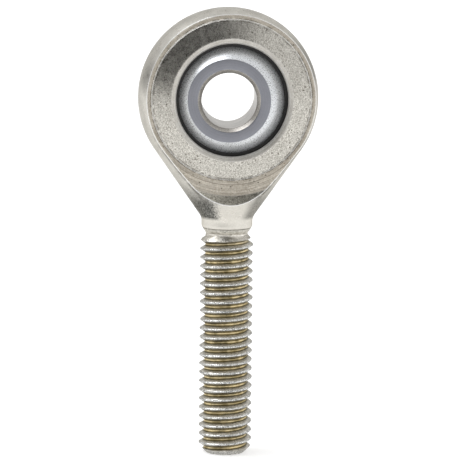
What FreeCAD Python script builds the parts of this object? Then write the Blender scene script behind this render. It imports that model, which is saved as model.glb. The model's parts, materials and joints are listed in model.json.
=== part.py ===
import FreeCAD, Part
import math
import os

# Rod end with a male shank and a swivelling ball, size 3: a 3/16 in class joint
# on a No. 10-32 UNF right-hand thread.
#
# Frame: the origin is the centre of the ball. The eye's flats face -Y and +Y,
# the shank points down along -Z, and +X is to the right. Millimetres.

INCH = 25.4

# Ball
BALL_D = 0.422 * INCH           # sphere
BALL_WIDTH_RATIO = 0.312 / 0.422    # across the two flat faces, over the sphere's diameter
BORE_D = 0.190 * INCH
BORE_CHAMFER = 0.34
BALL_EDGE_BREAK = 0.05          # bevel where a flat face meets the sphere
BALL_REST_TURN = -5.0           # degrees about Z, how far the ball is swivelled at rest

# Liner: a thin self-lubricating layer bonded inside the outer race
LINER_CLEARANCE = 0.03          # radial, between the ball and the liner
LINER_THICKNESS = 0.30
LINER_INSET = 0.028             # each end of the liner, inside the flats

# Outer race: swaged round the ball, seated in the eye and staked on both sides
RACE_WALL = 0.661               # thinnest wall, outside the liner's equator
RACE_COLLAR_SPREAD = 0.65       # the staked collar spreads this far over the eye's bore
RACE_SEAT_ANGLE = 45.0          # degrees, bevel of the bore that the collar spreads into
RACE_LIP_STEP = 0.05            # the rim of the opening, outside the mouth of the seat
RACE_LIP_HEIGHT = 0.60          # above the flats
RACE_BAND_WIDTH = 0.30          # from the rim of the opening to the highest circle
RACE_CREST_HEIGHT = 0.70        # of that circle, above the flats

# Body: one piece of steel, turned about Z, with two flats milled on the eye
EYE_WALL = 1.5875               # between the race and the spherical eye, all round
FLATS_WIDTH = 7 / 32 * INCH     # across the two milled flats
CENTRE_TO_END = 1.250 * INCH    # from the centre of the ball to the end of the shank
CONE_HALF_ANGLE = 35.0          # degrees, the cone that is tangent to the eye
CONE_END_RATIO = 1.043          # where the cone meets the neck's fillet, over the thread
NECK_RATIO = 0.954              # the neck, the blank the thread is rolled on, over the thread
NECK_FILLET_H = 0.62            # height of the fillet from the cone to the neck
NECK_FILLET_SHARE = 0.30        # of that step's width, still left halfway down the fillet
NECK_LENGTH = 0.50              # straight part of the neck
NECK_CHAMFER = 0.55             # height of the chamfer under the neck
RELIEF_LENGTH = 0.15            # thread relief above the first turn
RELIEF_UNDERCUT = 0.02          # the relief's depth below the roots of the thread
FACING_OVERHANG = 0.5125        # the facing cutter's path, outside the eye, ends in a ramp
RAMP_ANGLE = 30.0               # degrees, of that ramp

# Thread: No. 10-32 UNF, right-hand
THREAD_D = 0.1865 * INCH        # major diameter, middle of class 2A
PITCH = INCH / 32
THREAD_DEPTH_RATIO = 0.6134     # depth of an external thread over its pitch
CREST_FLAT_RATIO = 0.125        # flat on the crest over the pitch
FLANK_ANGLE = 30.0              # degrees
THREAD_START_CHAMFER = 40.0     # degrees from the axis, at the relief
END_CHAMFER = 0.66              # radial size of the chamfer at the end of the shank
THREAD_START_Z = -13.42         # centre of the groove on the +X side, one turn of it
GROOVE_OVERSHOOT = 0.05         # the groove's cutter stands out of the crests by this much
GROOVE_TOP_GAP = 0.1            # the cutter's last turn stops this far below the relief's top

ORIGIN = FreeCAD.Vector(0, 0, 0)
Y_AXIS = FreeCAD.Vector(0, 1, 0)
Z_AXIS = FreeCAD.Vector(0, 0, 1)

ball_r = BALL_D / 2
ball_y = ball_r * BALL_WIDTH_RATIO
flat_y = FLATS_WIDTH / 2
liner_inner_r = ball_r + LINER_CLEARANCE
liner_outer_r = liner_inner_r + LINER_THICKNESS
liner_y = flat_y - LINER_INSET
race_r = liner_outer_r + RACE_WALL
race_collar_r = race_r + RACE_COLLAR_SPREAD
race_bevel = RACE_COLLAR_SPREAD / math.tan(math.radians(RACE_SEAT_ANGLE))
head_r = race_r + EYE_WALL
thread_r = THREAD_D / 2
thread_depth = THREAD_DEPTH_RATIO * PITCH
root_r = thread_r - thread_depth
relief_r = root_r - RELIEF_UNDERCUT
neck_r = thread_r * NECK_RATIO
cone_end_r = thread_r * CONE_END_RATIO


def about_z(r, z):
    """A point of a profile that is turned about Z."""
    return FreeCAD.Vector(r, 0, z)


def about_y(r, y):
    """A point of a profile that is turned about Y."""
    return FreeCAD.Vector(r, y, 0)


def line(a, b):
    return Part.LineSegment(a, b).toShape()


def arc(a, middle, b):
    return Part.Arc(a, middle, b).toShape()


def turned(edges, axis):
    """The solid that a closed profile sweeps in one full turn about an axis."""
    solid = Part.Face(Part.Wire(edges)).revolve(ORIGIN, axis, 360)
    if solid.Volume < 0:
        solid.reverse()
    return solid


def polygon(points):
    """The edges of a closed outline with straight sides."""
    return [line(a, b) for a, b in zip(points, points[1:] + points[:1])]


def eye_blank():
    """Eye, cone and neck as turned, and the height of the relief's top."""
    cone = math.radians(CONE_HALF_ANGLE)
    tangent_r = head_r * math.cos(cone)
    tangent_z = -head_r * math.sin(cone)
    cone_end_z = tangent_z - (tangent_r - cone_end_r) / math.tan(cone)
    neck_top_z = cone_end_z - NECK_FILLET_H
    neck_low_z = neck_top_z - NECK_LENGTH
    relief_top_z = neck_low_z - NECK_CHAMFER
    fillet_r = neck_r + NECK_FILLET_SHARE * (cone_end_r - neck_r)
    fillet_middle = about_z(fillet_r, (cone_end_z + neck_top_z) / 2)
    middle = math.radians((90 - CONE_HALF_ANGLE) / 2)
    sphere_middle = about_z(head_r * math.cos(middle), head_r * math.sin(middle))
    edges = [
        arc(about_z(0, head_r), sphere_middle, about_z(tangent_r, tangent_z)),
        line(about_z(tangent_r, tangent_z), about_z(cone_end_r, cone_end_z)),
        arc(about_z(cone_end_r, cone_end_z), fillet_middle, about_z(neck_r, neck_top_z)),
    ]
    corners = [
        about_z(neck_r, neck_top_z),
        about_z(neck_r, neck_low_z),
        about_z(relief_r, relief_top_z),
        about_z(0, relief_top_z),
        about_z(0, head_r),
    ]
    edges += [line(a, b) for a, b in zip(corners, corners[1:])]
    return turned(edges, Z_AXIS), relief_top_z


def shank_blank(top_z):
    """The shank from its relief to its end, before the thread."""
    relief_low_z = top_z - RELIEF_LENGTH
    start = (thread_r - relief_r) / math.tan(math.radians(THREAD_START_CHAMFER))
    end_z = -CENTRE_TO_END
    return turned(polygon([
        about_z(0, top_z),
        about_z(relief_r, top_z),
        about_z(relief_r, relief_low_z),
        about_z(thread_r, relief_low_z - start),
        about_z(thread_r, end_z + END_CHAMFER),
        about_z(thread_r - END_CHAMFER, end_z),
        about_z(0, end_z),
    ]), Z_AXIS)


def thread_groove(top_z):
    """The V that winds up the shank, from below its end into the relief."""
    flank = math.tan(math.radians(FLANK_ANGLE))
    mouth_r = thread_r + GROOVE_OVERSHOOT
    crest_half = PITCH * (1 - CREST_FLAT_RATIO) / 2
    root_half = crest_half - thread_depth * flank
    mouth_half = crest_half + GROOVE_OVERSHOOT * flank
    below_end = THREAD_START_Z + CENTRE_TO_END + PITCH
    low_z = THREAD_START_Z - PITCH * math.ceil(below_end / PITCH)
    turns = math.floor((top_z - GROOVE_TOP_GAP - low_z) / PITCH)
    # one edge for each turn, because a groove swept along one long edge doesn't cut cleanly
    spine = []
    for turn in range(turns):
        edge = Part.makeHelix(PITCH, PITCH, thread_r).Edges[0]
        edge.translate(FreeCAD.Vector(0, 0, low_z + turn * PITCH))
        spine.append(edge)
    profile = Part.Wire(polygon([
        about_z(root_r, low_z - root_half),
        about_z(mouth_r, low_z - mouth_half),
        about_z(mouth_r, low_z + mouth_half),
        about_z(root_r, low_z + root_half),
    ]))
    return Part.Wire(spine).makePipeShell([profile], True, True)


def facing_cut(side):
    """What the facing cutter takes off one side of the eye: a flat, and a ramp at its rim."""
    facing_r = head_r + FACING_OVERHANG
    depth = 2 * head_r
    ramp_r = facing_r + depth / math.tan(math.radians(RAMP_ANGLE))
    return turned(polygon([
        about_y(0, side * flat_y),
        about_y(facing_r, side * flat_y),
        about_y(ramp_r, side * (flat_y + depth)),
        about_y(0, side * (flat_y + depth)),
    ]), Y_AXIS)


def race_seat():
    """The bore of the eye, bevelled at both mouths for the staked collars."""
    out_y = head_r
    return turned(polygon([
        about_y(0, -out_y),
        about_y(race_collar_r, -out_y),
        about_y(race_collar_r, -flat_y),
        about_y(race_r, -flat_y + race_bevel),
        about_y(race_r, flat_y - race_bevel),
        about_y(race_collar_r, flat_y),
        about_y(race_collar_r, out_y),
        about_y(0, out_y),
    ]), Y_AXIS)


def rod_end_body():
    """The eye and its threaded shank, in one piece."""
    eye, relief_top_z = eye_blank()
    for side in (-1, 1):
        eye = eye.cut(facing_cut(side))
    eye = eye.cut(race_seat())
    return eye.fuse(shank_blank(relief_top_z)).cut(thread_groove(relief_top_z))


def outer_race():
    """The race, with its raised ring on each side of the eye and its spherical seat."""
    crest_y = flat_y + RACE_CREST_HEIGHT
    lip_y = flat_y + RACE_LIP_HEIGHT
    seat_r = math.sqrt(liner_outer_r ** 2 - liner_y ** 2)
    lip_r = seat_r + RACE_LIP_STEP
    crest_r = lip_r + RACE_BAND_WIDTH
    corners = [
        about_y(seat_r, liner_y),
        about_y(lip_r, lip_y),
        about_y(crest_r, crest_y),
        about_y(race_collar_r, flat_y),
        about_y(race_r, flat_y - race_bevel),
        about_y(race_r, -flat_y + race_bevel),
        about_y(race_collar_r, -flat_y),
        about_y(crest_r, -crest_y),
        about_y(lip_r, -lip_y),
        about_y(seat_r, -liner_y),
    ]
    edges = [line(a, b) for a, b in zip(corners, corners[1:])]
    edges.append(arc(corners[-1], about_y(liner_outer_r, 0), corners[0]))
    return turned(edges, Y_AXIS)


def liner():
    """The bonded liner, a spherical shell cut off square at both ends."""
    inner_r = math.sqrt(liner_inner_r ** 2 - liner_y ** 2)
    outer_r = math.sqrt(liner_outer_r ** 2 - liner_y ** 2)
    low_in, high_in = about_y(inner_r, -liner_y), about_y(inner_r, liner_y)
    low_out, high_out = about_y(outer_r, -liner_y), about_y(outer_r, liner_y)
    return turned([
        arc(low_in, about_y(liner_inner_r, 0), high_in),
        line(high_in, high_out),
        arc(high_out, about_y(liner_outer_r, 0), low_out),
        line(low_out, low_in),
    ], Y_AXIS)


def ball():
    """The ball, flat on both sides, with a bevelled bore, swivelled a little in its seat."""
    bore_r = BORE_D / 2
    edge_r = math.sqrt(ball_r ** 2 - (ball_y - BALL_EDGE_BREAK) ** 2)
    face_r = edge_r - BALL_EDGE_BREAK
    corners = [
        about_y(edge_r, ball_y - BALL_EDGE_BREAK),
        about_y(face_r, ball_y),
        about_y(bore_r + BORE_CHAMFER, ball_y),
        about_y(bore_r, ball_y - BORE_CHAMFER),
        about_y(bore_r, -ball_y + BORE_CHAMFER),
        about_y(bore_r + BORE_CHAMFER, -ball_y),
        about_y(face_r, -ball_y),
        about_y(edge_r, -ball_y + BALL_EDGE_BREAK),
    ]
    edges = [line(a, b) for a, b in zip(corners, corners[1:])]
    edges.append(arc(corners[-1], about_y(ball_r, 0), corners[0]))
    return turned(edges, Y_AXIS).rotated(ORIGIN, Z_AXIS, BALL_REST_TURN)


NODES = {
    "rod_end_body": rod_end_body,
    "outer_race": outer_race,
    "liner": liner,
    "ball": ball,
}

os.makedirs("parts", exist_ok=True)
for name, make in NODES.items():
    shape = make()
    assert shape.isValid() and len(shape.Solids) == 1, name
    shape.Solids[0].exportStep(f"parts/{name}.step")
    print(name, round(shape.Volume, 3), "mm3", len(shape.Faces), "faces")
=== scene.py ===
import json
import math

import bmesh
import bpy
import numpy as np
from mathutils import Matrix, Vector


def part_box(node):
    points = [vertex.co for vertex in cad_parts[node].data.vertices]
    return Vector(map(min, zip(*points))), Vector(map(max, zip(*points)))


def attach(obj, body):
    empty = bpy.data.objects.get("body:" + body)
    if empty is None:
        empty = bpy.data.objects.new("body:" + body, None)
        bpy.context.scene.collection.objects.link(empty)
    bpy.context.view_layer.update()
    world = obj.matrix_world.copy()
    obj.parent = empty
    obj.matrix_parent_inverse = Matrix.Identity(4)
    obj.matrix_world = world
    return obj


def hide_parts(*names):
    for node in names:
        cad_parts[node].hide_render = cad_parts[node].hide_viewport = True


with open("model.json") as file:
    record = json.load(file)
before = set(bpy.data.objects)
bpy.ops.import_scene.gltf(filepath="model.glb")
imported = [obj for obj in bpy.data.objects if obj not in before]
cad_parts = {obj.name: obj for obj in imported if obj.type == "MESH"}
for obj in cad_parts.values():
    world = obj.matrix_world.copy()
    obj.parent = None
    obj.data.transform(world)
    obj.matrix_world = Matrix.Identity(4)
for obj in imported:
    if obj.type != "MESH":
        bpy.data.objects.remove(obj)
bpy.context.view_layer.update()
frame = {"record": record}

MM = 0.001

# ---------------------------------------------------------------- sizes, in millimetres
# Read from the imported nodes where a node's box gives the size.
body_lo, body_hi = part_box("rod_end_body")
race_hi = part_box("outer_race")[1]
liner_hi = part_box("liner")[1]
ball_lo, ball_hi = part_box("ball")

HEAD_R = body_hi.z / MM                # spherical eye
END_Z = body_lo.z / MM                 # end of the shank
COLLAR_R = race_hi.x / MM              # staked collar of the race
CREST_Y = race_hi.y / MM               # top of the raised ring
LINER_OUT_R = liner_hi.x / MM
LINER_Y = liner_hi.y / MM
BALL_R = ball_hi.z / MM
mounts = {m["name"]: m for m in frame["record"]["mounts"]}
bore_axis = Vector(mounts["ball_bore"]["axis"])
BORE_R = mounts["ball_bore"]["dims"]["r_mm"]
BALL_Y = Vector(mounts["ball_face_back"]["pos_m"]).dot(bore_axis) / MM
BALL_TURN = math.atan2(-bore_axis.x, bore_axis.y)      # about Z, as the ball rests

# The rest are the design's own sizes.
FLAT_Y = 7 / 64 * 25.4                 # milled flats
CONE_ANGLE = math.radians(35)
FILLET_H = 0.62
NECK_LENGTH = 0.50
NECK_CHAMFER = 0.55
RELIEF_LENGTH = 0.15
FACING_R = 8.45
RAMP_ANGLE = math.radians(30)
RAMP_NOSE_R = 0.12                     # the cutter's nose, where the flat turns up into the ramp
THREAD_R = 2.36855
NECK_R = 0.954 * THREAD_R
CONE_END_R = 1.043 * THREAD_R
PITCH = 25.4 / 32
THREAD_DEPTH = 0.6134 * PITCH
FLANK = math.tan(math.radians(30))
THREAD_START = math.radians(40)
THREAD_Z0 = -13.42                     # a groove's centre on the +X side
END_CHAMFER = 0.66
THREAD_TOP = -11.46                    # the neck's lower edge
NICKS = 150                            # dents in the thread's crests
NICK_HEIGHT = 0.11
THREAD_COLUMNS = 144
LATHE_COLUMNS = 288
BALL_EDGE_BREAK = 0.05
RACE_R = COLLAR_R - 0.65
SEAT_R = math.sqrt(LINER_OUT_R ** 2 - LINER_Y ** 2)
LIP_R = SEAT_R + 0.05                  # rim of the opening
CREST_R = LIP_R + 0.30                 # highest circle of the raised ring
LIP_Y = FLAT_Y + 0.60
BORE_CHAMFER = 0.34
LINER_IN_R = BALL_R + 0.03

ROOT_R = THREAD_R - THREAD_DEPTH
RELIEF_R = ROOT_R - 0.02
ROUND_THREAD = 0.045                   # rounding of the rolled crests and roots


# ---------------------------------------------------------------- mesh helpers
def rounded(points, radii, steps=5):
    """An outline with its corners rounded: radii[i] is the radius at points[i], 0 for a sharp one."""
    made = []
    n = len(points)
    for i, point in enumerate(points):
        r = radii[i]
        if r == 0:
            made.append(tuple(point))
            continue
        p = np.array(point, float)
        a = np.array(points[i - 1], float) - p
        b = np.array(points[(i + 1) % n], float) - p
        la, lb = np.linalg.norm(a), np.linalg.norm(b)
        a, b = a / la, b / lb
        half = math.acos(max(-1.0, min(1.0, float(a @ b)))) / 2
        reach = min(r / math.tan(half), 0.45 * la, 0.45 * lb)
        r = reach * math.tan(half)
        middle = (a + b) / np.linalg.norm(a + b)
        centre = p + middle * (r / math.sin(half))
        start, end = p + a * reach - centre, p + b * reach - centre
        angle = math.pi - 2 * half
        for k in range(steps + 1):
            t = k / steps
            w0 = math.sin((1 - t) * angle) / math.sin(angle)
            w1 = math.sin(t * angle) / math.sin(angle)
            made.append(tuple(centre + start * w0 + end * w1))
    return made


def along(a, b, count):
    """Points from a towards b, without b."""
    return [(a[0] + (b[0] - a[0]) * k / count, a[1] + (b[1] - a[1]) * k / count) for k in range(count)]


def grid_mesh(name, points, wrap_rows, helix=None):
    """A mesh from points [row, column, xyz] in millimetres; the last column joins the first.

    helix is (first row, rows, rows a turn): there a row joins the one a turn earlier instead.
    """
    rows, columns = points.shape[:2]
    faces = []

    def partner(row):
        if helix and helix[0] <= row < helix[0] + helix[1]:
            return max(row - helix[2], helix[0])
        return row

    for i in range(rows if wrap_rows else rows - 1):
        k = (i + 1) % rows
        for j in range(columns - 1):
            faces.append((i * columns + j, i * columns + j + 1, k * columns + j + 1, k * columns + j))
        last = columns - 1
        faces.append((i * columns + last, partner(i) * columns, partner(k) * columns, k * columns + last))
    mesh = bpy.data.meshes.new(name)
    mesh.from_pydata((points.reshape(-1, 3) * MM).tolist(), [], faces)
    clean(mesh)
    return mesh


def clean(mesh):
    """Merges doubled points and turns the normals outwards."""
    work = bmesh.new()
    work.from_mesh(mesh)
    bmesh.ops.remove_doubles(work, verts=work.verts, dist=1e-8)
    bmesh.ops.dissolve_degenerate(work, edges=work.edges, dist=1e-8)
    bmesh.ops.recalc_face_normals(work, faces=work.faces)
    work.to_mesh(mesh)
    work.free()
    mesh.update()


def lathe_y(name, profile, columns):
    """A closed outline of (radius, y) turned about Y."""
    profile = np.array(profile, float)
    angle = np.arange(columns) * 2 * math.pi / columns
    points = np.zeros((len(profile), columns, 3))
    points[:, :, 0] = profile[:, None, 0] * np.cos(angle)
    points[:, :, 1] = profile[:, None, 1]
    points[:, :, 2] = profile[:, None, 0] * np.sin(angle)
    return grid_mesh(name, points, True)


def add_piece(name, mesh, body, node, materials, zone, sharp=28, turn=None):
    """An object from a mesh: its faces get the material that zone(centre in mm, normal) names."""
    piece = bpy.data.objects.new(name, mesh)
    bpy.context.scene.collection.objects.link(piece)
    names = list(materials)
    for key in names:
        mesh.materials.append(materials[key])
    for face in mesh.polygons:
        face.use_smooth = True
        face.material_index = names.index(zone(face.center / MM, face.normal))
    mesh.set_sharp_from_angle(angle=math.radians(sharp))
    if turn:
        mesh.transform(turn)
    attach(piece, body)
    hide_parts(node)
    return piece


# ---------------------------------------------------------------- body
def head_profile():
    """(radius, z) of the eye, cone and neck from the top down to the thread relief."""
    tangent_r = HEAD_R * math.cos(CONE_ANGLE)
    tangent_z = -HEAD_R * math.sin(CONE_ANGLE)
    cone_end_z = tangent_z - (tangent_r - CONE_END_R) / math.tan(CONE_ANGLE)
    neck_top = cone_end_z - FILLET_H
    neck_low = neck_top - NECK_LENGTH
    relief_top = neck_low - NECK_CHAMFER
    low_angle = -CONE_ANGLE
    profile = []
    for k in range(64):
        angle = math.pi / 2 + (low_angle - math.pi / 2) * k / 64
        profile.append((HEAD_R * math.cos(angle), HEAD_R * math.sin(angle)))
    profile += along((tangent_r, tangent_z), (CONE_END_R, cone_end_z), 16)
    for k in range(8):
        t = k / 8
        r = CONE_END_R + (NECK_R - CONE_END_R) * (1 - (1 - t) ** 2)
        profile.append((r, cone_end_z - FILLET_H * t))
    profile += along((NECK_R, neck_top), (NECK_R, neck_low + 0.1), 4)
    # the neck's lower edge is rounded, then it tapers into the relief
    for inward, up in ((0, 0.1), (0.02, 0.03), (0.07, -0.04)):
        profile.append((NECK_R - inward, neck_low + up))
    profile += along((NECK_R - 0.11, neck_low - 0.12), (RELIEF_R, relief_top), 6)
    return profile, relief_top


def blank_radius(z, relief_top):
    """Radius of the shank before its thread."""
    relief_low = relief_top - RELIEF_LENGTH
    start = RELIEF_R + np.maximum(relief_low - z, 0) * math.tan(THREAD_START)
    end = THREAD_R - END_CHAMFER + (z - END_Z)
    return np.minimum(np.minimum(start, end), THREAD_R)


def thread_radius(turn):
    """Radius of the thread at a share of a turn from a groove's centre, crests and roots rounded."""
    from_root = np.abs(turn - np.round(turn)) * PITCH
    crest_half = PITCH * (1 - 0.125) / 2
    r = ROOT_R + (from_root - crest_half) / FLANK + THREAD_DEPTH
    for limit, sign in ((ROOT_R, 1), (THREAD_R, -1)):
        gap = r - limit
        r = limit + 0.5 * (gap + sign * np.sqrt(gap * gap + ROUND_THREAD ** 2))
    return r


def body_points(columns):
    """The body before its cuts, for grid_mesh: its points and where its thread's rows are."""
    profile, relief_top = head_profile()
    angle = np.arange(columns) * 2 * math.pi / columns
    rows = []
    for r, z in profile:
        rows.append(np.stack([np.full(columns, r), np.full(columns, z)], 1))
    levels = np.array([0.0, 0.045, 0.083, 0.12, 0.18, 0.25, 0.32, 0.38, 0.42, 0.45, 0.475,
                       0.525, 0.55, 0.58, 0.62, 0.68, 0.75, 0.82, 0.88, 0.917, 0.955])[::-1]
    top_turn = math.ceil((relief_top - THREAD_Z0) / PITCH) + 1
    low_turn = math.floor((END_Z - THREAD_Z0) / PITCH) - 2
    rng = np.random.default_rng(7)
    nick_angle = rng.uniform(0, 2 * math.pi, NICKS)
    nick_turn = rng.integers(low_turn, top_turn, NICKS)
    nick_depth = rng.uniform(0.02, 0.085, NICKS)
    nick_width = rng.uniform(0.10, 0.42, NICKS)
    nick_offset = rng.uniform(-0.10, 0.10, NICKS)
    wave = rng.uniform(0, 2 * math.pi, 8)
    for turn in range(top_turn, low_turn, -1):
        for level in levels:
            z = THREAD_Z0 + PITCH * (turn + level + angle / (2 * math.pi))
            z = np.clip(z, END_Z, relief_top)
            position = (z - THREAD_Z0) / PITCH - angle / (2 * math.pi)
            r = thread_radius(position)
            helix = position - np.floor(position)
            near_crest = np.exp(-((helix - 0.5) / 0.16) ** 2)
            along_helix = np.floor(position) * 2 * math.pi + angle
            ripple = np.zeros(columns)
            for k, phase in enumerate(wave):
                ripple += np.sin(along_helix * (0.71 + 1.37 * k) + phase)
            r = r - near_crest * (0.010 + 0.0035 * ripple)
            for k in range(NICKS):
                if abs(nick_turn[k] - np.floor(position).mean()) > 2:
                    continue
                centre_turn = nick_turn[k] + 0.5 + nick_offset[k] + nick_angle[k] / (2 * math.pi)
                centre_z = THREAD_Z0 + PITCH * centre_turn
                away = (angle - nick_angle[k] + math.pi) % (2 * math.pi) - math.pi
                reach = (away * THREAD_R / nick_width[k]) ** 2 + ((z - centre_z) / NICK_HEIGHT) ** 2
                r = r - nick_depth[k] * np.exp(-reach)
            r = np.minimum(r, blank_radius(z, relief_top))
            rows.append(np.stack([r, z], 1))
    helix = (len(profile), len(rows) - len(profile), len(levels))
    last = rows[-1]
    for share in (0.97, 0.66, 0.33, 0.0):
        rows.append(np.stack([last[:, 0] * share, last[:, 1]], 1))
    rows = np.array(rows)
    points = np.zeros((len(rows), columns, 3))
    points[:, :, 0] = rows[:, :, 0] * np.cos(angle)
    points[:, :, 1] = rows[:, :, 0] * np.sin(angle)
    points[:, :, 2] = rows[:, :, 1]
    return points, helix


def spool_profile():
    """What is cut from the eye, as one outline about Y: two facings with their ramps, and the bore."""
    out = HEAD_R * 1.2
    ramp_out = FACING_R + (out - FLAT_Y) / math.tan(RAMP_ANGLE)
    bevel = COLLAR_R - RACE_R
    half = [
        (0.0, out),
        (ramp_out, out),
        (FACING_R, FLAT_Y),
        (COLLAR_R, FLAT_Y),
        (RACE_R, FLAT_Y - bevel),
    ]
    other = [(r, -y) for r, y in reversed(half)]
    radii = [0, 0, RAMP_NOSE_R, 0, 0]
    return rounded(half + other, radii + radii[::-1], 4)


def make_body(materials):
    """Eye, cone, neck and threaded shank, less the facings and the bore."""
    points, helix = body_points(THREAD_COLUMNS)
    mesh = grid_mesh("rod_end_body_mesh", points, False, helix)
    blank = bpy.data.objects.new("blank", mesh)
    cutter = bpy.data.objects.new("cutter", lathe_y("cutter", spool_profile(), LATHE_COLUMNS))
    for o in (blank, cutter):
        bpy.context.scene.collection.objects.link(o)
    cut = blank.modifiers.new("cut", "BOOLEAN")
    cut.operation = "DIFFERENCE"
    cut.solver = "EXACT"
    cut.object = cutter
    graph = bpy.context.evaluated_depsgraph_get()
    done = bpy.data.meshes.new_from_object(blank.evaluated_get(graph))
    for o in (blank, cutter):
        bpy.data.objects.remove(o)
    done.materials.clear()

    def zone(c, n):
        rho = math.hypot(c.x, c.z)
        if c.z < THREAD_TOP:
            return "thread"
        if abs(n.y) > 0.99 and abs(c.y) > FLAT_Y - 0.02:
            return "flat"
        if abs(c.y) > FLAT_Y - 0.02 and n.x * c.x + n.z * c.z < -0.05 * rho and rho > FACING_R - 0.3:
            return "ramp"
        return "skin"

    return add_piece("rod_end_body_shell", done, "housing", "rod_end_body",
                     materials, zone, 22)


# ---------------------------------------------------------------- race, liner, ball
def race_profile():
    """Closed (radius, y) outline of the race: the raised ring on each side, and the seat."""
    front = [
        (SEAT_R, LINER_Y),
        (LIP_R - 0.12, LIP_Y - 0.16),
        (LIP_R, LIP_Y),
        (CREST_R - 0.10, CREST_Y - 0.035),
        (CREST_R, CREST_Y),
        (CREST_R + 0.14, CREST_Y - 0.03),
        (COLLAR_R - 0.05, FLAT_Y + 0.07),
        (COLLAR_R, FLAT_Y - 0.015),
        (RACE_R, FLAT_Y - (COLLAR_R - RACE_R)),
    ]
    radii = [0, 0.05, 0.05, 0.06, 0.1, 0.06, 0.05, 0, 0]
    back = [(r, -y) for r, y in reversed(front)]
    outline = rounded(front + back, radii + radii[::-1], 4)
    # the long outer slope gets rows of its own
    dense = []
    for a, b in zip(outline, outline[1:]):
        length = math.hypot(b[0] - a[0], b[1] - a[1])
        on_slope = length > 0.8 and a[0] > 5 and b[0] > 5 and abs(a[1]) > FLAT_Y
        dense += along(a, b, 10 if on_slope else 1)
    dense.append(outline[-1])
    low, high = math.atan2(-LINER_Y, SEAT_R), math.atan2(LINER_Y, SEAT_R)
    for k in range(1, 16):
        angle = low + (high - low) * k / 16
        dense.append((LINER_OUT_R * math.cos(angle), LINER_OUT_R * math.sin(angle)))
    return dense


def make_race(materials):
    mesh = lathe_y("outer_race_mesh", race_profile(), LATHE_COLUMNS)

    def zone(c, n):
        rho = math.hypot(c.x, c.z)
        if rho > CREST_R + 0.05 and abs(c.y) > FLAT_Y - 0.1:
            return "blasted"
        if rho < LIP_R - 0.03:
            return "flare"
        return "band"

    return add_piece("outer_race_ring", mesh, "housing", "outer_race",
                     materials, zone, 35)


def make_liner(materials):
    inner, outer = [], []
    for k in range(17):
        y = -LINER_Y + 2 * LINER_Y * k / 16
        inner.append((math.sqrt(LINER_IN_R ** 2 - y * y), y))
        outer.append((math.sqrt(LINER_OUT_R ** 2 - y * y), y))
    mesh = lathe_y("liner_mesh", inner + outer[::-1], 192)
    return add_piece("liner_shell", mesh, "housing", "liner",
                     materials, lambda c, n: "liner", 35)


def make_ball(materials):
    edge = BALL_EDGE_BREAK
    edge_r = math.sqrt(BALL_R ** 2 - (BALL_Y - edge) ** 2)
    half = [
        (BORE_R, 0.0),
        (BORE_R, BALL_Y - BORE_CHAMFER),
        (BORE_R + BORE_CHAMFER, BALL_Y),
        (edge_r - edge, BALL_Y),
        (edge_r, BALL_Y - edge),
    ]
    radii = [0, 0.08, 0.08, 0.03, 0]
    front = rounded(half, radii, 4)
    front = along(front[0], front[1], 8) + front[1:]
    low, high = math.atan2(BALL_Y - edge, edge_r), 0.0
    for k in range(1, 24):
        angle = low + (high - low) * k / 24
        front.append((BALL_R * math.cos(angle), BALL_R * math.sin(angle)))
    front.append((BALL_R, 0.0))
    back = [(r, -y) for r, y in reversed(front[1:-1])]
    mesh = lathe_y("ball_mesh", front + back, 256)
    turn = Matrix.Rotation(BALL_TURN, 4, "Z")

    def zone(c, n):
        rho = math.hypot(c.x, c.z)
        if abs(c.y) > BALL_Y - 0.02:
            return "face"
        if rho < BORE_R + BORE_CHAMFER:
            return "bore"
        return "sphere"

    return add_piece("ball_solid", mesh, "ball", "ball", materials, zone, 25, turn)


# ---------------------------------------------------------------- materials
EDGE_TINT = (0.62, 0.61, 0.58, 1.0)    # of the plating, seen at a low angle
# colour of the painted highlights along the edges
EDGE_HIGHLIGHT_COLOUR = (0.95, 0.95, 0.93)
STAIN = (0.20, 0.13, 0.07)
PIT = (0.10, 0.088, 0.07)
NICK = (0.03, 0.028, 0.026)
GRIME = (0.07, 0.055, 0.035)
DARK_EDGE_LINE = (0.09, 0.08, 0.065)
SHOULDER_LINE = (0.10, 0.09, 0.07)


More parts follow.
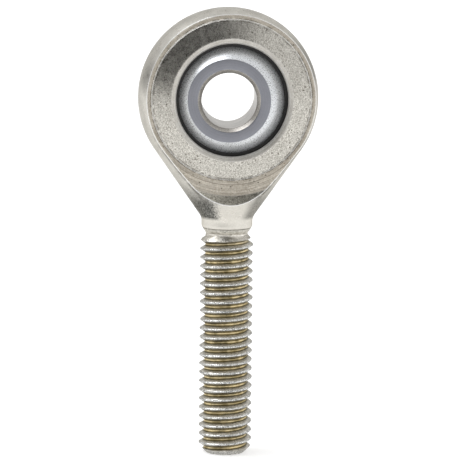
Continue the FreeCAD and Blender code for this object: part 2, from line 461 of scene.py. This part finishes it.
class Nodes:
    """A short way to write a node tree whose lengths are in millimetres of the object's own space."""

    def __init__(self, name, turn=0.0):
        self.material = bpy.data.materials.new(name)
        self.material.use_nodes = True
        self.tree = self.material.node_tree
        self.tree.nodes.clear()
        self.out = self.tree.nodes.new("ShaderNodeOutputMaterial")
        self.shader = self.tree.nodes.new("ShaderNodeBsdfPrincipled")
        self.link(self.shader.outputs[0], self.out.inputs[0])
        place = self.tree.nodes.new("ShaderNodeTexCoord")
        scale = self.tree.nodes.new("ShaderNodeVectorMath")
        scale.operation = "SCALE"
        self.link(place.outputs["Object"], scale.inputs[0])
        scale.inputs["Scale"].default_value = 1 / MM
        self.place = scale.outputs[0]
        if turn:
            # lengths in the frame of a piece that rests turned about Z
            square = self.tree.nodes.new("ShaderNodeVectorRotate")
            square.rotation_type = "Z_AXIS"
            square.inputs["Angle"].default_value = -turn
            self.link(self.place, square.inputs["Vector"])
            self.place = square.outputs[0]
        parts = self.tree.nodes.new("ShaderNodeSeparateXYZ")
        self.link(self.place, parts.inputs[0])
        self.x, self.y, self.z = parts.outputs

    def link(self, a, b):
        self.tree.links.new(a, b)

    def put(self, value, socket):
        if isinstance(value, bpy.types.NodeSocket):
            self.link(value, socket)
        else:
            socket.default_value = value

    def math(self, operation, a, b=0.0):
        node = self.tree.nodes.new("ShaderNodeMath")
        node.operation = operation
        self.put(a, node.inputs[0])
        self.put(b, node.inputs[1])
        return node.outputs[0]

    def distance(self, a, b):
        """Length of the vector (a, b)."""
        square = self.math("ADD", self.math("MULTIPLY", a, a), self.math("MULTIPLY", b, b))
        return self.math("SQRT", square)

    def rho(self):
        """Distance from the bore's axis."""
        return self.distance(self.x, self.z)

    def vector(self, x, y, z):
        node = self.tree.nodes.new("ShaderNodeCombineXYZ")
        for value, socket in zip((x, y, z), node.inputs):
            self.put(value, socket)
        return node.outputs[0]

    def noise(self, size, detail=3.0, rough=0.55, place=None, stretch=None):
        node = self.tree.nodes.new("ShaderNodeTexNoise")
        vector = place or self.place
        if stretch:
            spread = self.tree.nodes.new("ShaderNodeVectorMath")
            spread.operation = "MULTIPLY"
            self.link(vector, spread.inputs[0])
            spread.inputs[1].default_value = stretch
            vector = spread.outputs[0]
        self.link(vector, node.inputs["Vector"])
        node.inputs["Scale"].default_value = 1 / size
        node.inputs["Detail"].default_value = detail
        node.inputs["Roughness"].default_value = rough
        return node.outputs[0]

    def spots(self, size, low, high):
        node = self.tree.nodes.new("ShaderNodeTexVoronoi")
        self.link(self.place, node.inputs["Vector"])
        node.inputs["Scale"].default_value = 1 / size
        return self.remap(node.outputs["Distance"], low, high, 1.0, 0.0)

    def remap(self, value, a, b, c=0.0, d=1.0):
        node = self.tree.nodes.new("ShaderNodeMapRange")
        self.put(value, node.inputs["Value"])
        for key, number in (("From Min", a), ("From Max", b), ("To Min", c), ("To Max", d)):
            node.inputs[key].default_value = number
        return node.outputs[0]

    def mix(self, share, a, b):
        node = self.tree.nodes.new("ShaderNodeMix")
        node.data_type = "RGBA"
        self.put(share, node.inputs["Factor"])
        for value, index in ((a, 6), (b, 7)):
            if isinstance(value, tuple):
                value = (*value, 1.0)
            self.put(value, node.inputs[index])
        return node.outputs[2]

    def painted_edge_highlights(self, colour, share, radius=0.16):
        """Painted highlights along the edges, where a rounded normal leaves the surface's own."""
        bevel = self.tree.nodes.new("ShaderNodeBevel")
        bevel.samples = 8
        bevel.inputs["Radius"].default_value = radius * MM
        own = self.tree.nodes.new("ShaderNodeNewGeometry")
        dot = self.tree.nodes.new("ShaderNodeVectorMath")
        dot.operation = "DOT_PRODUCT"
        self.link(bevel.outputs[0], dot.inputs[0])
        self.link(own.outputs["Normal"], dot.inputs[1])
        edge_highlight = self.remap(dot.outputs["Value"], 0.998, 0.968, 0.0, share)
        above_neck = self.remap(self.z, -9.9, -9.6)
        edge_highlight = self.math("MULTIPLY", edge_highlight, above_neck)
        return self.mix(edge_highlight, colour, EDGE_HIGHLIGHT_COLOUR)

    def finish(self, colour, rough, height=None, strength=0.5, depth=0.02, metallic=1.0,
               round_edges=0.0):
        """Joins the colour, roughness, rounded edges and bumps to the shader."""
        if isinstance(colour, tuple):
            colour = (*colour, 1.0)
        self.put(colour, self.shader.inputs["Base Color"])
        self.put(rough, self.shader.inputs["Roughness"])
        self.shader.inputs["Metallic"].default_value = metallic
        normal = None
        if round_edges:
            bevel = self.tree.nodes.new("ShaderNodeBevel")
            bevel.samples = 6
            bevel.inputs["Radius"].default_value = round_edges * MM
            normal = bevel.outputs[0]
        if height is not None:
            bump = self.tree.nodes.new("ShaderNodeBump")
            bump.inputs["Strength"].default_value = strength
            bump.inputs["Distance"].default_value = depth * MM
            self.link(height, bump.inputs["Height"])
            if normal:
                self.link(normal, bump.inputs["Normal"])
            normal = bump.outputs[0]
        if normal:
            self.link(normal, self.shader.inputs["Normal"])
        return self.material


def plated(name, light, dark, rough, grain=0.14, grain_depth=0.006, mottle=0.35, rings=0.0, spots=0.0,
           contrast=0.5, metallic=1.0, cone=False, edge=0.10, edge_highlight=0.9, rim=0.0, specks=0.0):
    """Nickel-coloured plating over steel, with fine grain and soft mottling.

    rings, spots, specks and rim add turning marks, stains, pits and a ring of grime at a radius.
    """
    n = Nodes(name)
    fine = n.noise(grain, 4.0, 0.65)
    broad = n.noise(1.6, 3.0, 0.6)
    share = n.math("ADD", n.math("MULTIPLY", fine, 1 - mottle), n.math("MULTIPLY", broad, mottle))
    spread = 0.075 / contrast
    share = n.remap(share, 0.5 - spread, 0.5 + spread)
    colour = n.mix(share, dark, light)
    height = fine
    if rings:
        rho = n.rho()
        turned = n.noise(0.11, 3.0, 0.7, n.vector(rho, 0.0, 0.0))
        arcs = n.noise(0.5, 2.0, 0.5, n.vector(n.math("MULTIPLY", rho, 5.0), n.noise(2.5), 0.0))
        marks = n.math("MULTIPLY", turned, arcs)
        sway = n.math("MULTIPLY", n.noise(3.0), 0.6)
        wide = n.noise(0.33, 2.0, 0.6, n.vector(rho, sway, 0.0))
        bright = n.math("MULTIPLY", n.remap(marks, 0.14, 0.36), n.remap(wide, 0.36, 0.56, 0.45, 1.0))
        marked = n.math("MULTIPLY", n.math("SUBTRACT", 1.0, bright), rings)
        colour = n.mix(marked, colour, tuple(c * 0.30 for c in dark))
        height = n.math("ADD", height, n.math("MULTIPLY", turned, 2.2))
    if spots:
        dots = n.spots(0.55, 0.07, 0.13)
        keep = n.remap(n.noise(0.9, 2.0), 0.52, 0.62)
        dots = n.math("MULTIPLY", n.math("MULTIPLY", dots, keep), spots)
        colour = n.mix(dots, colour, STAIN)
    if specks:
        keep = n.remap(n.noise(0.7, 2.0), 0.44, 0.58)
        pits = n.math("MULTIPLY", n.spots(0.36, 0.15, 0.24), keep)
        colour = n.mix(n.math("MULTIPLY", pits, specks), colour, PIT)
    if rim:
        away = n.math("ABSOLUTE", n.math("SUBTRACT", n.rho(), rim))
        broken = n.remap(n.noise(0.45, 3.0, 0.7), 0.42, 0.54)
        grime = n.math("MULTIPLY", n.remap(away, 0.085, 0.025), broken)
        colour = n.mix(n.math("MULTIPLY", grime, 0.85), colour, GRIME)
    # painted reflection on the cone and neck
    if cone:
        colour = painted_cone_reflection(n, colour, fine)
        colour = dark_edge_line(n, colour)
    # painted highlights along the edges
    if edge_highlight:
        colour = n.painted_edge_highlights(colour, edge_highlight)
    roughness = n.remap(n.noise(0.5, 3.0), 0.3, 0.7, rough * 0.85, rough * 1.2)
    n.shader.inputs["Specular Tint"].default_value = EDGE_TINT
    return n.finish(colour, roughness, height, 0.5, grain_depth, metallic, edge)


def painted_cone_reflection(n, colour, fine):
    """Painted reflection on the cone above the neck: bright in front and behind, darker and patchy at its
    sides.
    """
    radius = n.distance(n.x, n.y)
    ragged = n.math("MULTIPLY", n.math("SUBTRACT", fine, 0.5), 0.45)
    side = n.math("ADD", n.math("DIVIDE", n.x, radius), ragged)
    low = n.remap(n.z, -8.2, -9.6)
    # painted reflection: the neck is painted bright
    neck = n.mix(fine, (0.54, 0.51, 0.455), (0.77, 0.745, 0.68))
    colour = n.mix(n.math("MULTIPLY", low, 0.8), colour, neck)
    # painted shade: the cone's sides are painted dark and patchy
    right_side = n.math("MULTIPLY", n.remap(side, 0.40, 0.66), 0.72)
    dark = n.math("ADD", n.remap(side, -0.30, -0.55), right_side)
    band = n.math("MULTIPLY", n.remap(n.z, -7.2, -9.2), n.remap(n.z, -10.75, -10.45))
    painted_dark_sides = n.mix(n.remap(fine, 0.38, 0.66), (0.04, 0.04, 0.036), (0.26, 0.255, 0.235))
    return n.mix(n.math("MULTIPLY", dark, band), colour, painted_dark_sides)


def dark_edge_line(n, colour):
    """Broken dark line on the eye's round side, along the lower edges of the flats."""
    near_flat = n.remap(n.math("ABSOLUTE", n.y), FLAT_Y - 0.42, FLAT_Y - 0.10)
    broken = n.remap(n.noise(0.5, 3.0, 0.7), 0.40, 0.55, 0.25, 0.9)
    line = n.math("MULTIPLY", near_flat, broken)
    line = n.math("MULTIPLY", line, n.remap(n.z, -2.5, -5.0))
    line = n.math("MULTIPLY", line, n.remap(n.math("ABSOLUTE", n.x), 2.0, 2.9))
    return n.mix(line, colour, DARK_EDGE_LINE)


def thread_material():
    """Rolled thread: silver crests with nicks, grey flanks, and grooves gold between two lines of painted
    shade.
    """
    n = Nodes("plated_thread")
    radius = n.distance(n.x, n.y)
    up = n.remap(radius, ROOT_R + 0.01, THREAD_R - 0.05)
    fine = n.noise(0.12, 4.0, 0.7)
    broad = n.noise(1.1, 3.0)
    wobble = n.math("ADD", up, n.math("MULTIPLY", n.math("SUBTRACT", broad, 0.5), 0.30))
    gold = n.mix(n.remap(n.noise(0.7, 3.0), 0.4, 0.62), (0.80, 0.67, 0.40), (0.36, 0.29, 0.15))
    # painted shade in the roots, on both sides of the groove's gold
    painted_root_shade = n.mix(fine, (0.06, 0.055, 0.04), (0.34, 0.31, 0.22))
    flank = n.mix(n.remap(fine, 0.36, 0.62), (0.33, 0.315, 0.275), (0.74, 0.715, 0.655))
    top = n.remap(n.z, -12.9, -12.3)
    streaks = n.noise(0.14, 3.0, 0.6, None, (0.35, 0.35, 2.4))
    plain = n.mix(n.remap(streaks, 0.38, 0.60), (0.36, 0.335, 0.285), (0.88, 0.85, 0.78))
    gold = n.mix(top, gold, plain)
    painted_root_shade = n.mix(n.math("MULTIPLY", top, 0.8), painted_root_shade, plain)
    colour = n.mix(n.remap(wobble, 0.03, 0.13), gold, painted_root_shade)
    colour = n.mix(n.remap(wobble, 0.20, 0.42), colour, flank)
    crest = n.mix(n.remap(fine, 0.42, 0.58), (0.27, 0.27, 0.26), (0.88, 0.88, 0.86))
    colour = n.mix(n.remap(wobble, 0.76, 0.98), colour, crest)
    keep = n.remap(n.noise(0.6, 2.0), 0.50, 0.60)
    dots = n.math("MULTIPLY", n.spots(0.36, 0.09, 0.17), keep)
    colour = n.mix(n.math("MULTIPLY", dots, 0.9), colour, NICK)
    chamfer = n.remap(n.z, END_Z + 0.42, END_Z + 0.30)
    end = n.mix(n.remap(fine, 0.38, 0.6), (0.30, 0.295, 0.28), (0.80, 0.79, 0.76))
    colour = n.mix(chamfer, colour, end)
    from_shoulder = n.math("ABSOLUTE", n.math("SUBTRACT", n.z, THREAD_TOP - 0.05))
    shoulder = n.remap(from_shoulder, 0.08, 0.02)
    broken = n.remap(n.noise(0.5, 3.0, 0.7), 0.36, 0.50, 0.25, 0.85)
    colour = n.mix(n.math("MULTIPLY", shoulder, broken), colour, SHOULDER_LINE)
    n.shader.inputs["Specular Tint"].default_value = EDGE_TINT
    roughness = n.remap(up, 0.0, 1.0, 0.36, 0.24)
    stretched = n.noise(0.16, 3.0, 0.6, None, (0.6, 0.6, 2.6))
    return n.finish(colour, roughness, n.math("ADD", fine, stretched), 0.7, 0.02)


def ball_material(name, light, dark, rough, streaks, metallic=1.0):
    """Ground steel: fine lines round the bore over a softer grain."""
    n = Nodes(name, BALL_TURN)
    around = n.noise(1.4, 2.0)
    rho = n.rho()
    lines = n.noise(0.07, 3.0, 0.7, n.vector(rho, n.math("MULTIPLY", n.y, 0.6), 0.0))
    fine = n.noise(0.1, 3.0)
    share = n.math("ADD", n.math("MULTIPLY", lines, streaks), n.math("MULTIPLY", fine, 1 - streaks))
    share = n.math("ADD", share, n.math("MULTIPLY", around, 0.25))
    colour = n.mix(n.remap(share, 0.42, 0.8), dark, light)
    roughness = n.remap(fine, 0.3, 0.7, rough * 0.9, rough * 1.15)
    return n.finish(colour, roughness, lines, 0.35, 0.006, metallic, 0.04)


def liner_material():
    n = Nodes("liner_black")
    weave = n.noise(0.12, 2.0, 0.5, None, (1.0, 3.0, 1.0))
    colour = n.mix(weave, (0.008, 0.008, 0.009), (0.028, 0.027, 0.026))
    return n.finish(colour, n.remap(weave, 0.3, 0.7, 0.55, 0.75), weave, 0.6, 0.02, metallic=0.0)


# ---------------------------------------------------------------- build
make_body({
    "skin": plated("plated_skin", (0.72, 0.70, 0.65), (0.47, 0.455, 0.42), 0.30,
                   mottle=0.5, cone=True, edge_highlight=0.8),
    "flat": plated("plated_flat", (0.86, 0.80, 0.70), (0.44, 0.39, 0.315), 0.34,
                   rings=0.8, spots=0.9, specks=0.9, rim=COLLAR_R + 0.07),
    "ramp": plated("plated_ramp", (0.76, 0.73, 0.63), (0.17, 0.155, 0.125), 0.34,
                   grain=0.12, mottle=0.2),
    "thread": thread_material(),
})
make_race({
    "blasted": plated("race_blasted", (0.68, 0.66, 0.605), (0.28, 0.265, 0.235), 0.28,
                      grain=0.10, grain_depth=0.022, mottle=0.12, specks=0.95, contrast=0.7,
                      rim=COLLAR_R - 0.10),
    "band": plated("race_band", (0.72, 0.70, 0.65), (0.50, 0.47, 0.42), 0.34,
                   rings=0.25, metallic=0.35),
    "flare": plated("race_flare", (0.62, 0.60, 0.56), (0.42, 0.40, 0.37), 0.45,
                    metallic=0.45, edge_highlight=0.0),
})
make_liner({"liner": liner_material()})
make_ball({
    # the face's darker steel is a painted dark reflection of what lies in front of it
    "face": ball_material("ball_face", (0.29, 0.295, 0.325), (0.22, 0.225, 0.25), 0.34, 0.7),
    "sphere": ball_material("ball_sphere", (0.74, 0.755, 0.77), (0.53, 0.545, 0.565), 0.28, 0.5, 0.62),
    "bore": ball_material("ball_bore", (0.62, 0.60, 0.56), (0.22, 0.20, 0.18), 0.35, 0.4),
})


# ---------------------------------------------------------------- floor and light
FLOOR_R = 4.0                          # metres
FLOOR_GLOW = 0.54
DARK_CARD = (-0.42, -0.72, 0.52)       # its direction from the object, above and to the left
SOFT_BOX = (-0.46, 0.05, 0.88)


def make_floor():
    """Pale disc under the shank's end, which glows a little so that it stays even."""
    work = bmesh.new()
    bmesh.ops.create_circle(work, cap_ends=True, segments=96, radius=FLOOR_R)
    mesh = bpy.data.meshes.new("floor")
    work.to_mesh(mesh)
    work.free()
    floor = bpy.data.objects.new("floor", mesh)
    floor.location.z = body_lo.z
    bpy.context.scene.collection.objects.link(floor)
    n = Nodes("floor")
    n.finish((0.58, 0.58, 0.577), 0.9, metallic=0.0)
    n.shader.inputs["Specular IOR Level"].default_value = 0.0
    n.shader.inputs["Emission Color"].default_value = (1.0, 0.995, 0.985, 1.0)
    n.shader.inputs["Emission Strength"].default_value = FLOOR_GLOW
    mesh.materials.append(n.material)


make_floor()

world = bpy.data.worlds.new("studio")
bpy.context.scene.world = world
world.use_nodes = True
tree = world.node_tree
tree.nodes.clear()
w_out = tree.nodes.new("ShaderNodeOutputWorld")
w_bg = tree.nodes.new("ShaderNodeBackground")
tree.links.new(w_bg.outputs[0], w_out.inputs[0])
w_place = tree.nodes.new("ShaderNodeTexCoord")


def world_spot(direction, inner, outer):
    """1 within inner degrees of a direction, fading to 0 at outer degrees."""
    dot = tree.nodes.new("ShaderNodeVectorMath")
    dot.operation = "DOT_PRODUCT"
    tree.links.new(w_place.outputs["Generated"], dot.inputs[0])
    dot.inputs[1].default_value = Vector(direction).normalized()
    ramp = tree.nodes.new("ShaderNodeMapRange")
    ramp.interpolation_type = "SMOOTHSTEP"
    tree.links.new(dot.outputs["Value"], ramp.inputs["Value"])
    ramp.inputs["From Min"].default_value = math.cos(math.radians(outer))
    ramp.inputs["From Max"].default_value = math.cos(math.radians(inner))
    return ramp.outputs[0]


def world_mix(share, a, b):
    """The world's colour a where share is 0 and b where it is 1."""
    node = tree.nodes.new("ShaderNodeMix")
    node.data_type = "RGBA"
    tree.links.new(share, node.inputs["Factor"])
    for value, index in ((a, 6), (b, 7)):
        if isinstance(value, tuple):
            node.inputs[index].default_value = (*value, 1.0)
        else:
            tree.links.new(value, node.inputs[index])
    return node.outputs[2]


sky = world_mix(world_spot(DARK_CARD, 28, 52), (0.95, 0.95, 0.95), (0.12, 0.12, 0.12))
sky = world_mix(world_spot(SOFT_BOX, 14, 30), sky, (4.2, 4.25, 4.35))
for side in (-1, 1):
    # a grey card to each side behind, which shades the outline
    sky = world_mix(world_spot((0.70 * side, 0.71, 0.0), 10, 26), sky, (0.42, 0.42, 0.42))
tree.links.new(sky, w_bg.inputs["Color"])
w_bg.inputs["Strength"].default_value = 1.0


# ---------------------------------------------------------------- camera
CAMERA_DISTANCE = 0.240        # from the ball's centre, along the view
CAMERA_AZIMUTH = math.radians(-6.65)
CAMERA_ELEVATION = math.radians(7.6)
CAMERA_ROLL = math.radians(0.59)
CAMERA_RIGHT = -0.000073
CAMERA_DOWN = 0.0116
IMAGE_WIDTH = 458
PIXELS_A_MM = 11.362           # at the ball's centre
FOCAL_SHARE = PIXELS_A_MM * CAMERA_DISTANCE / MM / IMAGE_WIDTH      # focal length over sensor width

back = Vector((
    math.sin(CAMERA_AZIMUTH) * math.cos(CAMERA_ELEVATION),
    -math.cos(CAMERA_AZIMUTH) * math.cos(CAMERA_ELEVATION),
    math.sin(CAMERA_ELEVATION),
))
level = Vector((math.cos(CAMERA_AZIMUTH), math.sin(CAMERA_AZIMUTH), 0))
upright = back.cross(level)
right = level * math.cos(CAMERA_ROLL) + upright * math.sin(CAMERA_ROLL)
up = upright * math.cos(CAMERA_ROLL) - level * math.sin(CAMERA_ROLL)
centre = (ball_lo + ball_hi) / 2
camera_data = bpy.data.cameras.new("camera")
camera_data.sensor_width = 36
camera_data.lens = 36 * FOCAL_SHARE
camera_data.clip_start = 0.01
camera_data.clip_end = 20
camera = bpy.data.objects.new("camera", camera_data)
bpy.context.scene.collection.objects.link(camera)
place = Matrix((right, up, back)).transposed().to_4x4()
place.translation = centre + back * CAMERA_DISTANCE - right * CAMERA_RIGHT - up * CAMERA_DOWN
camera.matrix_world = place
bpy.context.scene.camera = camera
bpy.context.scene.view_settings.view_transform = "Standard"
